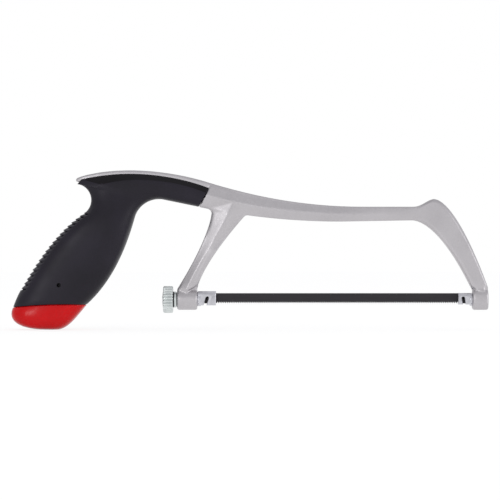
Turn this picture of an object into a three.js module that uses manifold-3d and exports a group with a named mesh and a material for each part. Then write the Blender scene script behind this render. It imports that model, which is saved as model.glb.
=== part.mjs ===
// Mini hacksaw. A cast aluminium frame carries a moulded pistol grip at the rear and holds a short
// pin-ended blade between two forked holders. The front holder is riveted in its boss. The rear holder
// is a threaded stud, and the fluted knob on it draws the blade tight.
// Millimetres. +X is the front of the saw, +Z is up, and the saw is symmetrical about Y = 0.
import * as THREE from "three";
import { mergeVertices } from "three/addons/utils/BufferGeometryUtils.js";
import Module from "manifold-3d";

const wasm = await Module();
wasm.setup();
const { degToRad, lerp, smoothstep } = THREE.MathUtils;

// Blade and its cross pins
const pinSpacing = 147;
const bladeOverhang = 1.6;
const bladeHeight = 5.6;
const bladeThickness = 0.65;
const toothSpacing = 1.254;
const toothDepth = 0.7;
const plainEnd = 4.6;
const setOffset = 0.16;
const teethPerWave = 8;
const bladePinDiameter = 1.4;
const bladePinLength = 5.8;
const bladePinEdge = 0.25;
const pinSeatGap = 0.05;
const pinRise = 0.9;
const pinAboveMiddle = 0.18;

// Blade holders: forks that straddle the blade, with slanted hook slots for the pins
const forkThickness = 6.6;
const forkEdge = 0.4;
const forkRoofHeight = 1.7;
const forkRoofInset = 1.1;
const slitGap = 0.2;
const slotGap = 0.12;
const endGap = 0.3;
const rearForkAbove = 3.9;
const rearForkBelow = 4.2;
const rearForkNose = 5;
const rearForkRoot = 2.1;
const rearForkRound = 2;
const rearSlotLean = 17;
const frontForkAbove = 2.8;
const frontForkBelow = 3.7;
const frontForkNose = 2.8;
const frontForkRoot = 2.5;
const frontForkRound = 1.2;
const frontSlotLean = 9;
const studDiameter = 5;
const studFlats = 4.2;
const studEdge = 0.3;
const rivetHead = 8;
const rivetSinkDepth = 1.5;
const rivetRimWidth = 0.2;

// Tension knob, its washers and its thread
const knobDiameter = 15.4;
const knobLength = 5.7;
const knobEdge = 0.8;
const knobDomeHeight = 0.4;
const knobDomeDiameter = 9;
const fluteCount = 26;
const fluteDepth = 0.7;
const threadPitch = 0.8;
const releaseTurns = 3;
const studProudLength = 0.2;
const washerDiameter = 9.2;
const steelWasherThickness = 1.5;
const frictionWasherThickness = 0.45;
const runningGap = 0.15;
const faceGap = 0.1;

// Bosses of the frame
const bossDiameter = 12;
const bossEdge = 0.7;
const rearBossLength = 11.7;
const frontBossLength = 9.1;
const forkGap = 0.1;
const footCore = 5.6;
const footNotchRise = 2.6;
const footNotchDepth = 1.2;

// Bar of the frame, from the neck at the grip to the hump over the front leg
const throatHeight = 44.8;
const barDepth = 8.5;
const barBowHeight = 0.7;
const neckOffset = 0.9;
const neckRise = 8.35;
const neckDepth = 13.5;
const neckSlantLength = 7.6;
const humpRise = 4.5;
const humpBack = 21.9;
const humpRun = 12.6;
const barEdge = 8.2;
const barChamfer = 1.4;
const barShoulder = 9.2;
const barRidge = 12.4;
const barRidgeFront = 11.4;
const castCornerRadius = 0.8;

// Front leg of the frame
const frontLegRun = 34.6;
const frontLegOuterBow = 1.66;
const frontLegInnerBow = 1.78;
const frontLegFace = 9.6;
const frontLegHeadEdge = 7.6;
const frontLegFootEdge = 5.2;
const frontLegChamfer = 2.4;

// Rear leg of the frame
const rearLegBackRun = 19.8;
const rearLegFrontRun = 27.1;
const rearLegBackBow = 1.4;
const rearLegFrontBow = 1.36;
const rearLegChamfer = 1.2;
const rearLegHeadEdge = 7.6;
const rearLegFootEdge = 6.6;
const rearLegHeadRidge = 12.8;
const rearLegFootRidge = 11.4;
const rearLegShoulder = 1;
const rearLegFillet = 3;
const rearLegCrownRidge = 11.9;

// Spine and tang of the frame inside the grip
const spineRun = 47.2;
const spineRise = 7.95;
const tailRun = 31;
const tailFallHeight = 3.8;
const tailTaperLength = 14;
const tailTipDepth = 2.6;
const spineDepth = 8.5;
const noseDepth = 12.8;
const stripDepth = 2.2;
const stripFlare = 1.2;
const tangThickness = 8;
const tangWidth = 14;
const tangTipRadius = 5.6;
const tangLength = 45.5;

// Grip, measured along its raked axis from its root under the spine
const gripRake = 33;
const gripRootBack = 10;
const gripRootDrop = 22;
const gripLength = 66;
const gripThickness = 26;
const neckThickness = 16.8;
const neckFrontThickness = 13.8;
const buttDepth = 35.4;
const palmBackDepth = 19.9;
const palmBackUpperDepth = 21;
const palmFrontDepth = 22.9;
const palmFrontUpperDepth = 18.9;
const rootBackDepth = 11.5;
const rootBackDrop = 9.9;
const rootFrontDepth = 13.5;
const rootFrontRise = 2.6;
const webRadius = 9.3;
const fingerRadius = 14.5;
const ribCount = 18;
const firstRibHeight = 10.6;
const ribSpacing = 3.05;
const ribDepth = 0.95;
const mouldGap = 0.3;

// End cap of the grip, its tongue and the spring pin through it
const capHeight = 14.2;
const capBulgeDepth = 2.7;
const capCrownLength = 18.4;
const capHeelLength = 17;
const capThickness = 25.4;
const capShadowGap = 0.35;
const capStepDepth = 0.05;
const tongueWidth = 18;
const tongueThickness = 9;
const tongueGap = 1.5;
const capPinDiameter = 2.4;
const capPinWall = 0.4;
const capPinSlit = 0.5;
const capPinRecess = 2.6;
const capPinDepth = 8;
const capPinOffset = 1.2;

const facetsRound = 32;
const loftSteps = 14;

// Blade travel: turning the knob back lets the stud forward, and the pins then run down both slots
const rearTilt = degToRad(rearSlotLean);
const frontTilt = degToRad(frontSlotLean);
const releaseDrop = (threadPitch * releaseTurns) / (Math.tan(rearTilt) + Math.tan(frontTilt));
const rearSlit = bladeOverhang + endGap + releaseDrop * Math.tan(rearTilt);
const frontSlit = bladeOverhang + endGap + releaseDrop * Math.tan(frontTilt);
const rearForkBack = rearSlit + rearForkRoot;
const frontForkBack = frontSlit + frontForkRoot;

// Places that follow from the sizes. The tension axis is Z = 0 and the pins stand evenly about X = 0.
const rearPinX = -pinSpacing / 2;
const frontPinX = pinSpacing / 2;
const rearFace = rearPinX - rearForkBack - forkGap;
const frontFace = frontPinX + frontForkBack + forkGap;
const span = frontFace - rearFace;
const bossRadius = bossDiameter / 2;
const neckUnder = new THREE.Vector2(rearFace + neckOffset, throatHeight + neckRise);
const neckTop = new THREE.Vector2(neckUnder.x + neckSlantLength, neckUnder.y + neckDepth);
const spineApex = new THREE.Vector2(neckTop.x - spineRun, neckTop.y + spineRise);
const rake = degToRad(gripRake);
const gripRoot = new THREE.Vector2(spineApex.x - gripRootBack, spineApex.y - gripRootDrop);

// A point of the side view, and the same in space at a distance from the middle plane
const side = (x, z) => new THREE.Vector2(x, z);
const inSpace = (point, y) => new THREE.Vector3(point.x, y, point.y);

// A place on the grip: down its axis from the root, and across it towards the front
function onGrip(down, across) {
  const x = gripRoot.x - down * Math.sin(rake) + across * Math.cos(rake);
  const z = gripRoot.y - down * Math.cos(rake) - across * Math.sin(rake);
  return side(x, z);
}

// A closed surface as a solid that can be joined and cut
function toSolid(geometry) {
  const bare = geometry.clone();
  bare.deleteAttribute("normal");
  bare.deleteAttribute("uv");
  const merged = mergeVertices(bare, 1e-4);
  const corners = merged.index.array;
  const kept = [];
  for (let i = 0; i < corners.length; i += 3) {
    const [a, b, c] = corners.slice(i, i + 3);
    if (a !== b && b !== c && c !== a) {
      kept.push(a, b, c);
    }
  }
  const vertProperties = new Float32Array(merged.getAttribute("position").array);
  const triVerts = new Uint32Array(kept);
  return new wasm.Manifold(new wasm.Mesh({ numProp: 3, vertProperties, triVerts }));
}

// A solid back as a surface to show
function toGeometry(solid) {
  const mesh = solid.getMesh();
  const geometry = new THREE.BufferGeometry();
  geometry.setAttribute("position", new THREE.BufferAttribute(mesh.vertProperties, 3));
  geometry.setIndex(new THREE.BufferAttribute(mesh.triVerts, 1));
  const faceted = geometry.toNonIndexed();
  faceted.computeVertexNormals();
  return faceted;
}

// A flat fan over one end ring of a loft
function closeEnd(points, faces, first, count, turned) {
  const middle = new THREE.Vector3();
  for (let i = 0; i < count; i++) {
    middle.addScaledVector(points[first + i], 1 / count);
  }
  const hub = points.push(middle) - 1;
  for (let i = 0; i < count; i++) {
    const a = first + i;
    const b = first + ((i + 1) % count);
    faces.push(...(turned ? [b, a, hub] : [a, b, hub]));
  }
}

// A closed skin through rings of equally many points
function loft(rings) {
  const count = rings[0].length;
  const points = rings.flat();
  const faces = [];
  for (let ring = 0; ring < rings.length - 1; ring++) {
    for (let i = 0; i < count; i++) {
      const a = ring * count + i;
      const b = ring * count + ((i + 1) % count);
      faces.push(a, b + count, b);
      faces.push(a, a + count, b + count);
    }
  }
  closeEnd(points, faces, 0, count, false);
  closeEnd(points, faces, (rings.length - 1) * count, count, true);
  let volume = 0;
  for (let i = 0; i < faces.length; i += 3) {
    const [a, b, c] = faces.slice(i, i + 3).map((corner) => points[corner]);
    volume += a.dot(b.clone().cross(c));
  }
  const geometry = new THREE.BufferGeometry().setFromPoints(points);
  geometry.setIndex(volume < 0 ? faces.reverse() : faces);
  return toSolid(geometry);
}

// A plate cut to a shape of the side view, centred on the middle plane
function plate(shape, thickness, edge = 0) {
  const depth = thickness - 2 * edge;
  const geometry = new THREE.ExtrudeGeometry(shape, {
    depth,
    bevelEnabled: edge > 0,
    bevelThickness: edge,
    bevelSize: edge,
    bevelOffset: -edge,
    bevelSegments: 1,
    curveSegments: 8,
  });
  geometry.rotateX(Math.PI / 2);
  geometry.translate(0, depth / 2, 0);
  return geometry;
}

// A piece turned about the tension axis, from pairs of a place along X and a radius
function turned(profile) {
  const points = profile.map(([x, radius]) => new THREE.Vector2(radius, x));
  const geometry = new THREE.LatheGeometry(points, facetsRound);
  geometry.rotateZ(-Math.PI / 2);
  return toSolid(geometry);
}

// A round bar on the tension axis with both ends chamfered
function roundBar(start, end, radius, edge) {
  return turned([
    [start, 0],
    [start, radius - edge],
    [start + edge, radius],
    [end - edge, radius],
    [end, radius - edge],
    [end, 0],
  ]);
}

// A rectangular block between two corners
function block(low, high) {
  const size = high.clone().sub(low);
  const middle = high.clone().add(low).multiplyScalar(0.5);
  const geometry = new THREE.BoxGeometry(size.x, size.y, size.z);
  geometry.translate(middle.x, middle.y, middle.z);
  return toSolid(geometry);
}

// A closed shape through points of the side view
function outline(points) {
  return new THREE.Shape(points);
}

// Section of the casting between two edges of the side view. Each face rises from the edge over a
// chamfer to a shoulder, and from there to a ridge on the middle line.
function castSection(top, under, { edge, chamfer, shoulder, ridge }) {
  const across = under.clone().sub(top);
  const width = across.length();
  const corner = Math.min(castCornerRadius, edge / 3, width / 6);
  const slope = Math.min(Math.max(chamfer, corner * 1.5), width / 3);
  const half = [
    [0, edge / 2 - corner],
    [corner * 0.3, edge / 2 - corner * 0.3],
    [corner, edge / 2],
    [slope, shoulder / 2],
    [width / 2, ridge / 2],
    [width - slope, shoulder / 2],
    [width - corner, edge / 2],
    [width - corner * 0.3, edge / 2 - corner * 0.3],
    [width, edge / 2 - corner],
  ];
  const place = ([reach, y]) => inSpace(top.clone().addScaledVector(across, reach / width), y);
  const left = half.map(place);
  const right = half.toReversed().map(([reach, y]) => place([reach, -y]));
  return [...left, ...right];
}

// Upper edge of the bar: it sweeps down from the neck, runs level and swells into the hump
function barTop(share) {
  const x = lerp(neckTop.x, rearFace + 0.6 * span, share);
  const level = throatHeight + barDepth;
  return side(x, level + (neckTop.y - level) * (1 - share) ** 2);
}

// Lower edge of the bar, which sweeps down beside it
function barUnder(share) {
  const x = lerp(neckUnder.x, rearFace + 0.52 * span, share);
  return side(x, throatHeight + neckRise * (1 - share) ** 2);
}

const humpTop = side(frontFace - humpBack, throatHeight + barDepth + humpRise);
const legOuterFoot = side(frontFace + frontBossLength - faceGap, bossRadius + castCornerRadius);
const legInnerHead = side(frontFace - frontLegRun, throatHeight + barBowHeight);
const legInnerFoot = side(frontFace, bossRadius - castCornerRadius);

// Outer and inner edges of the front leg, which bow outwards from the hump to the boss
function legOuter(share) {
  const x = lerp(humpTop.x, legOuterFoot.x, share);
  return side(x, lerp(humpTop.y, legOuterFoot.y, share ** frontLegOuterBow));
}
function legInner(share) {
  const x = lerp(legInnerHead.x, legInnerFoot.x, share);
  return side(x, lerp(legInnerHead.y, legInnerFoot.y, share ** frontLegInnerBow));
}

// Even shares along a loft, from 0 to 1
const loftShares = Array.from({ length: loftSteps + 1 }, (_, step) => step / loftSteps);

// A form of the casting's section part of the way from one to another
function blend(from, to, share) {
  return Object.fromEntries(Object.keys(from).map((key) => [key, lerp(from[key], to[key], share)]));
}

// Bar and front leg as one loft. The ridge of the bar fades into the flat face of the leg.
function makeBar() {
  const neckForm = { edge: barEdge, chamfer: barChamfer, shoulder: barShoulder, ridge: barRidge };
  const barForm = { ...neckForm, ridge: barRidgeFront };
  const humpForm = { ...barForm, edge: frontLegHeadEdge, shoulder: frontLegFace, ridge: frontLegFace };
  const footForm = { ...humpForm, edge: frontLegFootEdge, chamfer: frontLegChamfer };
  const rings = [];
  for (const share of loftShares) {
    rings.push(castSection(barTop(share), barUnder(share), blend(neckForm, barForm, share)));
  }
  const humpStart = side(humpTop.x - humpRun, throatHeight + barDepth);
  const innerAtHump = 0.25;
  for (const share of loftShares.slice(0, -1)) {
    const swell = smoothstep(share ** 1.25, 0, 1);
    const top = side(lerp(humpStart.x, humpTop.x, share), lerp(humpStart.y, humpTop.y, swell));
    const form = blend(barForm, humpForm, 0.6 + 0.4 * share);
    rings.push(castSection(top, legInner(innerAtHump * share), form));
  }
  for (const share of loftShares) {
    const inner = legInner(lerp(innerAtHump, 1, share));
    rings.push(castSection(legOuter(share), inner, blend(humpForm, footForm, smoothstep(share, 0.1, 0.8))));
  }
  const seatForm = { ...footForm, edge: frontLegFootEdge * 0.8 };
  const seatOuter = side(legOuterFoot.x - castCornerRadius, 0);
  const seatInner = side(frontFace + castCornerRadius, 0);
  rings.push(castSection(seatOuter, seatInner, seatForm));
  return loft(rings);
}

// Rear leg, drawn in between the bar and the rear boss, with a ridge down each face that runs up into
// the ridge of the bar
function makeRearLeg() {
  const foot = bossRadius;
  const headBack = throatHeight + neckRise * 0.6;
  const headFront = throatHeight + neckRise * 0.36;
  const backFoot = rearFace - rearBossLength + faceGap;
  const frontFoot = rearFace - faceGap;
  const form = (share) => {
    const edge = lerp(rearLegFootEdge, rearLegHeadEdge, share);
    const ridge = lerp(rearLegFootRidge, rearLegHeadRidge, share);
    return { edge, chamfer: rearLegChamfer, shoulder: edge + rearLegShoulder, ridge };
  };
  const seatForm = { ...form(0), ridge: rearLegFootEdge + rearLegShoulder };
  const rings = [castSection(side(backFoot + bossEdge, 0), side(frontFoot - bossEdge, 0), seatForm)];
  for (const share of loftShares) {
    const backRun = rearLegBackRun * (1 - (1 - share) ** rearLegBackBow);
    const frontRun = rearLegFrontRun * share ** rearLegFrontBow;
    const back = side(backFoot + backRun, lerp(foot, headBack, share));
    const front = side(frontFoot + frontRun, lerp(foot, headFront, share));
    rings.push(castSection(back, front, form(share)));
  }
  for (const share of [0.45, 1]) {
    const flare = rearLegFillet * share ** 2;
    const back = side(backFoot + rearLegBackRun - flare, headBack + rearLegFillet * share);
    const ahead = frontFoot + rearLegFrontRun + rearLegFillet * 0.6 * share + flare;
    const front = side(ahead, headFront + rearLegFillet * 0.7 * share);
    rings.push(castSection(back, front, form(1 - 0.3 * share)));
  }
  const crownBack = side(backFoot + rearLegBackRun - rearLegFillet / 3, headBack + rearLegFillet * 2);
  const crownFront = side(frontFoot + rearLegFrontRun + rearLegFillet * 2.3, headFront + rearLegFillet * 2.7);
  rings.push(castSection(crownBack, crownFront, { ...form(0.7), ridge: rearLegCrownRidge }));
  return loft(rings);
}

// Notch under the foot of a leg, on both of its faces. It leaves the core of the leg on the boss.
function makeFootNotch(start, end, startHeight, endHeight) {
  const shape = outline([side(start, 0), side(end, 0), side(end, endHeight), side(start, startHeight)]);
  return toSolid(plate(shape, 2 * bossDiameter)).subtract(toSolid(plate(shape, footCore)));
}

// Top of the spine over the grip: an arch that falls to the neck in front and to the tail behind
function spineTop(x) {
  const away = x - spineApex.x;
  const fall = away > 0 ? spineRise * (away / spineRun) ** 2 : tailFallHeight * (away / tailRun) ** 2;
  return spineApex.y - fall;
}

// Spine of the frame under the grip. Its top shows as a strip, and its tail ends in a rounded tip.
function makeSpine(grow) {
  const tail = spineApex.x - tailRun;
  const nose = neckTop.x + spineDepth / 2;
  const section = (x, taper, depth = spineDepth) => {
    const full = Math.sqrt(taper * (2 - taper));
    const thick = barEdge * lerp(0.35, 1, full) + 2 * grow;
    const droop = (stripDepth / 2) * (1 - full);
    const top = side(x, spineTop(x) - droop + grow);
    const under = side(x, spineTop(x) - lerp(tailTipDepth, depth, taper) - grow);
    const form = { edge: thick, chamfer: castCornerRadius, shoulder: thick, ridge: thick };
    return castSection(top, under, form);
  };
  const tipShares = [0, 0.03, 0.1, 0.25, 0.5];
  const rings = tipShares.map((taper) => section(tail - grow + tailTaperLength * taper, taper));
  for (const share of loftShares) {
    rings.push(section(lerp(tail + tailTaperLength, nose, share), 1, lerp(spineDepth, noseDepth, share)));
  }
  return loft(rings);
}

// Tang of the frame, which runs down inside the grip and tapers to a round end
function makeTang(grow) {
  const half = tangWidth / 2 + grow;
  const tip = tangTipRadius + grow;
  const end = tangLength - tangTipRadius;
  const start = -gripRootDrop * 0.75;
  const points = [onGrip(start, half), onGrip(start, -half)];
  for (let step = 0; step <= 8; step++) {
    const turn = (Math.PI * step) / 8;
    points.push(onGrip(end + tip * Math.sin(turn), -tip * Math.cos(turn)));
  }
  return toSolid(plate(outline(points), tangThickness + 2 * grow));
}

// Barrel boss on the tension axis
function makeBoss(start, length) {
  return roundBar(start, start + length, bossRadius, bossEdge);
}

// Round bar with two flats, which keep a holder from turning in its boss
function flattedBar(start, end, grow) {
  const radius = studDiameter / 2 + grow;
  const half = studFlats / 2 + grow;
  const low = new THREE.Vector3(start - radius, -half, -2 * radius);
  const high = new THREE.Vector3(end + radius, half, 2 * radius);
  return roundBar(start, end, radius, studEdge).intersect(block(low, high));
}

// Peened head of the front holder, sunk in the front of its boss
function sunkHead(grow) {
  const face = frontFace + frontBossLength;
  const radius = rivetHead / 2 + grow;
  const neck = studDiameter / 2 + grow;
  return turned([
    [face - rivetSinkDepth - grow, 0],
    [face - rivetSinkDepth - grow, neck],
    [face - rivetRimWidth, radius],
    [face + grow, radius],
    [face + grow, 0],
  ]);
}

// The whole casting, with its two bores
function makeFrame() {
  const rearBack = rearFace - rearBossLength;
  const notchFoot = bossRadius - footNotchDepth;
  const notchTop = bossRadius + footNotchRise;
  const rearNotch = makeFootNotch(rearFace - rearBossLength / 2, rearFace + bossEdge, notchFoot, notchTop);
  const frontEnd = frontFace + frontBossLength;
  const frontFoot = bossRadius - 2 * footNotchDepth;
  const frontNotch = makeFootNotch(frontFace - bossEdge, frontEnd + bossEdge, bossRadius, frontFoot);
  const solid = makeBar()
    .subtract(frontNotch)
    .add(makeRearLeg().subtract(rearNotch))
    .add(makeSpine(0))
    .add(makeTang(0))
    .add(makeBoss(rearBack, rearBossLength))
    .add(makeBoss(frontFace, frontBossLength));
  return solid
    .subtract(flattedBar(rearBack - bossEdge, rearFace + bossEdge, runningGap))
    .subtract(flattedBar(frontFace - bossEdge, frontEnd - rivetSinkDepth / 2, runningGap))
    .subtract(sunkHead(runningGap));
}

// Outline of the grip. Each edge runs from the butt up to the root, round an arc and along the neck.
const buttBack = onGrip(gripLength + (buttDepth / 2) * Math.tan(rake), -buttDepth / 2);
const buttFront = onGrip(gripLength - (buttDepth / 2) * Math.tan(rake), buttDepth / 2);
const rootBack = onGrip(rootBackDrop, -rootBackDepth);
const rootFront = onGrip(-rootFrontRise, rootFrontDepth);
const backLength = buttBack.distanceTo(rootBack);
const backEdge = new THREE.CubicBezierCurve(
  buttBack,
  onGrip(gripLength * 0.88, -palmBackDepth),
  onGrip(gripLength * 0.45, -palmBackUpperDepth),
  rootBack,
);
const frontEdge = new THREE.CubicBezierCurve(
  buttFront,
  onGrip(gripLength * 0.53, palmFrontDepth),
  onGrip(gripLength * 0.22, palmFrontUpperDepth),
  rootFront,
);
const webMiddle = side(rootBack.x - webRadius * Math.SQRT1_2, rootBack.y + webRadius * Math.SQRT1_2);
const fingerMiddle = side(
  rootFront.x + fingerRadius * Math.cos(degToRad(17)),
  rootFront.y - fingerRadius * Math.sin(degToRad(17)),
);
const onArc = (middle, radius, degrees) =>
  side(middle.x + radius * Math.cos(degToRad(degrees)), middle.y + radius * Math.sin(degToRad(degrees)));

// Sections of the grip from back to front, as shares of its depth and of half its thickness: a full
// round palm, and a neck whose upper flanks slope away from the strip of the spine.
const palmProfile = [
  [0, 0], [0.012, 0.3], [0.05, 0.58], [0.13, 0.84], [0.27, 0.98], [0.4, 1],
  [0.62, 1], [0.8, 0.95], [0.92, 0.74], [0.98, 0.42], [1, 0],
];
const neckProfile = [
  [0, 0], [0, 0.32], [0, 0.62], [0.1, 0.78], [0.27, 0.98], [0.42, 1],
  [0.6, 1], [0.78, 0.93], [0.91, 0.72], [0.98, 0.4], [1, 0],
];

// How far a rib reaches round the back of the grip at each point of the section
const ribReach = [1, 1, 0.85, 0.4, 0, 0, 0, 0, 0, 0, 0];

// One section of the grip. A groove draws its back in between two ribs.
function gripSection(back, front, thickness, neckShare, groove = 0) {
  const across = front.clone().sub(back);
  const width = across.length();
  const half = palmProfile.map(([reach, rise], i) => {
    const [neckReach, neckRiseShare] = neckProfile[i];
    const share = lerp(reach, neckReach, neckShare) + (groove * ribReach[i]) / width;
    const y = (lerp(rise, neckRiseShare, neckShare) * thickness) / 2;
    return [share, y];
  });
  const place = ([share, y]) => inSpace(back.clone().addScaledVector(across, share), y);
  const left = half.map(place);
  const right = half.slice(1, -1).toReversed().map(([share, y]) => place([share, -y]));
  return [...left, ...right];
}

// Stations up the handle. Each rib has a steep foot and a long slope up to the foot of the next.
function handleStations() {
  const stations = [{ share: 0, groove: 0 }, { share: firstRibHeight / backLength / 2, groove: 0 }];
  for (let rib = 0; rib < ribCount; rib++) {
    const foot = firstRibHeight + rib * ribSpacing;
    stations.push({ share: foot / backLength, groove: ribDepth });
    stations.push({ share: (foot + ribSpacing * 0.2) / backLength, groove: 0 });
  }
  stations.push({ share: (firstRibHeight + ribCount * ribSpacing) / backLength, groove: ribDepth * 0.7 });
  return stations.filter(({ share }) => share < 0.985);
}

// The solid grip before it is hollowed for the tang
function makeGripBody() {
  const rings = [];
  for (const { share, groove } of handleStations()) {
    const slim = smoothstep(share, 0.8, 1.3);
    const thickness = lerp(gripThickness, neckThickness, slim);
    rings.push(gripSection(backEdge.getPoint(share), frontEdge.getPoint(share), thickness, 0, groove));
  }
  const tail = spineApex.x - tailRun + tailTipDepth / 3;
  const tailPoint = side(tail, spineTop(tail) - stripDepth - tailTipDepth / 2);
  const webEnd = (Math.atan2(tailPoint.y - webMiddle.y, tailPoint.x - webMiddle.x) * 180) / Math.PI;
  for (const share of loftShares) {
    const back = onArc(webMiddle, webRadius, lerp(-45, webEnd, share));
    const front = onArc(fingerMiddle, fingerRadius, lerp(163, 103, share));
    const thickness = lerp(gripThickness, neckThickness, smoothstep(1 + share / 3, 0.8, 1.3));
    rings.push(gripSection(back, front, thickness, share * 0.5));
  }
  const slant = neckTop.clone().sub(neckUnder).normalize();
  const rearward = side(-slant.y, slant.x).multiplyScalar(mouldGap);
  const neckEndUnder = neckUnder.clone().add(rearward);
  const neckEndTop = neckTop.clone().add(rearward).addScaledVector(slant, -stripDepth - stripFlare);
  for (const share of loftShares.slice(1)) {
    const x = lerp(tail, neckEndTop.x, share);
    const back = side(x, spineTop(x) - stripDepth - stripFlare * share ** 6);
    const turn = lerp(103, 80, Math.min(1, share / 0.38));
    const arc = onArc(fingerMiddle, fingerRadius, turn);
    const front = arc.lerp(neckEndUnder, Math.max(0, share - 0.38) / 0.62);
    const last = share === 1;
    const thickness = lerp(neckThickness, neckFrontThickness, share);
    const mix = lerp(0.5, 1, Math.min(1, share / 0.3));
    rings.push(gripSection(last ? neckEndTop : back, last ? neckEndUnder : front, thickness, mix));
  }
  return loft(rings);
}

// Tongue of the end cap, which reaches up into the butt of the grip below the tang
function makeTongue(grow) {
  const half = tongueWidth / 2 + grow;
  const top = tangLength + tongueGap - grow;
  const foot = gripLength + capHeight * 0.4;
  const points = [onGrip(top, -half), onGrip(foot, -half), onGrip(foot, half * 0.5), onGrip(top, half)];
  return toSolid(plate(outline(points), tongueThickness + 2 * grow));
}

const capPinPlace = onGrip(tangLength + capPinDepth, -capPinOffset);
const capPinLength = gripThickness - 2 * capPinRecess;

// Cross hole for the spring pin, through the grip and the tongue
function makeCapPinHole() {
  const shape = new THREE.Shape();
  shape.absarc(capPinPlace.x, capPinPlace.y, capPinDiameter / 2 + runningGap, 0, 2 * Math.PI);
  return toSolid(plate(shape, gripThickness * 1.5));
}

// Grip, moulded round the spine and the tang, with a pocket for the tongue of the cap
function makeGrip() {
  return makeGripBody()
    .subtract(makeSpine(mouldGap))
    .subtract(makeTang(mouldGap))
    .subtract(makeTongue(mouldGap))
    .subtract(makeCapPinHole());
}

// End cap: a dome under the butt, proud at the back and set in at the front, with its tongue
function makeEndCap() {
  const down = (x, z) => side(x, z - capShadowGap);
  const start = down(buttBack.x, buttBack.y);
  const end = down(buttFront.x - capStepDepth, buttFront.y);
  const floor = start.y - capHeight;
  const back = new THREE.CubicBezierCurve(
    start,
    side(start.x - capBulgeDepth, start.y - capHeight * 0.44),
    side(start.x - capBulgeDepth / 2, floor + capHeight * 0.02),
    side(start.x + capCrownLength, floor),
  );
  const front = new THREE.CubicBezierCurve(
    end,
    side(end.x - capHeelLength * 0.38, lerp(end.y, floor, 0.535)),
    side(end.x - capHeelLength * 0.64, floor),
    side(end.x - capHeelLength, floor),
  );
  const rings = [];
  for (const share of loftShares) {
    const thickness = capThickness * Math.sqrt(1 - 0.94 * share ** 2.4);
    rings.push(gripSection(back.getPoint(share), front.getPoint(share), thickness, 0));
  }
  return loft(rings).add(makeTongue(0)).subtract(makeCapPinHole());
}

// Spring pin: a rolled tube, open along one side
function makeCapPin() {
  const outer = capPinDiameter / 2;
  const inner = outer - capPinWall;
  const gape = capPinSlit / capPinDiameter;
  const shape = new THREE.Shape();
  shape.absarc(0, 0, outer, gape, 2 * Math.PI - gape, false);
  shape.absarc(0, 0, inner, 2 * Math.PI - gape, gape, true);
  shape.closePath();
  return toSolid(plate(shape, capPinLength));
}

// Section of a fork across the saw: upright cheeks under a roof that slopes in on both sides
function makeForkRoof(above, below, length) {
  const half = forkThickness / 2;
  const eaves = above - forkRoofHeight;
  const crest = half - forkRoofInset;
  const corners = [side(half, -2 * below), side(half, eaves), side(crest, above)];
  const mirrored = corners.toReversed().map((corner) => side(-corner.x, corner.y));
  const roof = plate(outline([...corners, ...mirrored]), length);
  roof.rotateZ(Math.PI / 2);
  return toSolid(roof);
}

// Fork of a holder about its pin. Forward is +1 when the blade lies towards +X. The slot leans up
// towards the blade, so tension holds the pin in its closed end.
function makeFork({ nose, back, slit, above, below, tilt, round, forward }) {
  const slotHalf = bladePinDiameter / 2 + slotGap;
  const toMouth = side(-Math.sin(tilt), -Math.cos(tilt));
  const toSide = side(Math.cos(tilt), -Math.sin(tilt));
  const mouth = (sign) => {
    const start = toSide.clone().multiplyScalar(sign * slotHalf);
    return start.addScaledVector(toMouth, (below + start.y) / Math.cos(tilt));
  };
  const points = [side(nose, above), side(nose, -below), mouth(1)];
  for (let step = 0; step <= 8; step++) {
    const turn = -tilt + (Math.PI * step) / 8;
    points.push(side(slotHalf * Math.cos(turn), slotHalf * Math.sin(turn)));
  }
  points.push(mouth(-1));
  for (let step = 0; step <= 4; step++) {
    const turn = -Math.PI / 2 - (Math.PI * step) / 8;
    points.push(side(-back + round + round * Math.cos(turn), -below + round + round * Math.sin(turn)));
  }
  points.push(side(-back, above - forkEdge), side(-back + forkEdge, above));
  const shape = outline(points.map((point) => side(point.x * forward, point.y)));
  const half = bladeThickness / 2 + slitGap;
  const ends = [-slit * forward, 2 * nose * forward];
  const low = new THREE.Vector3(Math.min(...ends), -half, -2 * below);
  const high = new THREE.Vector3(Math.max(...ends), half, 2 * above);
  const cheeks = toSolid(plate(shape, forkThickness, forkEdge));
  return cheeks.intersect(makeForkRoof(above, below, 4 * (nose + back))).subtract(block(low, high));
}

const stackEnd = rearFace - rearBossLength - steelWasherThickness - frictionWasherThickness - 3 * faceGap;
const knobBack = stackEnd - knobLength;

// Rear holder: fork and threaded stud in one, with flats all along the stud
function makeRearHolder() {
  const fork = makeFork({
    nose: rearForkNose,
    back: rearForkBack,
    slit: rearSlit,
    above: rearForkAbove,
    below: rearForkBelow,
    tilt: rearTilt,
    round: rearForkRound,
    forward: 1,
  }).translate([rearPinX, 0, pinRise]);
  const studEnd = knobBack - knobDomeHeight - studProudLength;
  return fork.add(flattedBar(studEnd, rearPinX - rearForkBack + rearForkRoot / 2, 0));
}

// Front holder: fork, shank with flats and the peened head that fills the countersink of the boss
function makeFrontHolder() {
  const fork = makeFork({
    nose: frontForkNose,
    back: frontForkBack,
    slit: frontSlit,
    above: frontForkAbove,
    below: frontForkBelow,
    tilt: frontTilt,
    round: frontForkRound,
    forward: -1,
  }).translate([frontPinX, 0, pinRise]);
  const face = frontFace + frontBossLength;
  const shankStart = frontPinX + frontForkBack - frontForkRoot / 2;
  return fork.add(flattedBar(shankStart, face - rivetSinkDepth / 2, 0)).add(sunkHead(0));
}

// Washer on the stud between two places along X
function makeWasher(start, thickness) {
  const outer = washerDiameter / 2;
  const inner = studDiameter / 2 + runningGap;
  const end = start + thickness;
  return turned([[start, inner], [start, outer], [end, outer], [end, inner], [start, inner]]);
}

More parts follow.
